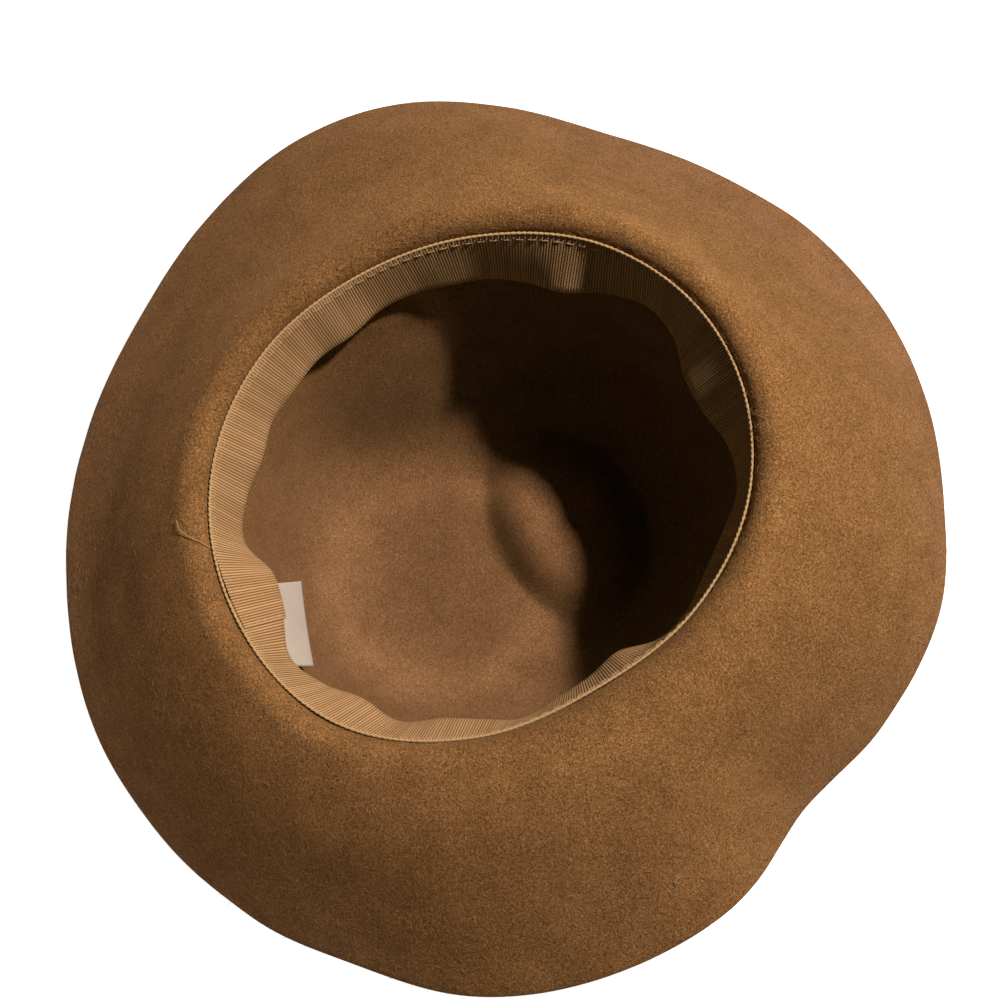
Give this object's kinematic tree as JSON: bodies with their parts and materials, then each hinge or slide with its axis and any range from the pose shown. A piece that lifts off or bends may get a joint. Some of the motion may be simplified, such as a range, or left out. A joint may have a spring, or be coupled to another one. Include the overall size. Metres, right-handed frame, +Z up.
{
  "type": "wide-brim felt hat",
  "caption": "Soft one-piece felt hat with a round dented crown and a wide drooping brim, with a grosgrain sweatband, lying upside down on its crown.",
  "frame": {"origin": "middle of the hat's outline in X and Y, at the surface that the crown's tip lies on", "axes": "+Z up, out of the opening for the head, which faces up because the hat lies upside down; the front of the hat toward -Y, the wearer's left toward -X"},
  "size_m": [0.3377, 0.3307, 0.1191],
  "materials": {
    "felt": "matt brown wool felt with a short nap",
    "grosgrain": "tan ribbed grosgrain ribbon",
    "label_satin": "plain off-white woven satin, bare"
  },
  "bodies": {
    "root": {"felt_body": "felt", "sweatband": "grosgrain", "label": "label_satin"}
  },
  "joints": []
}
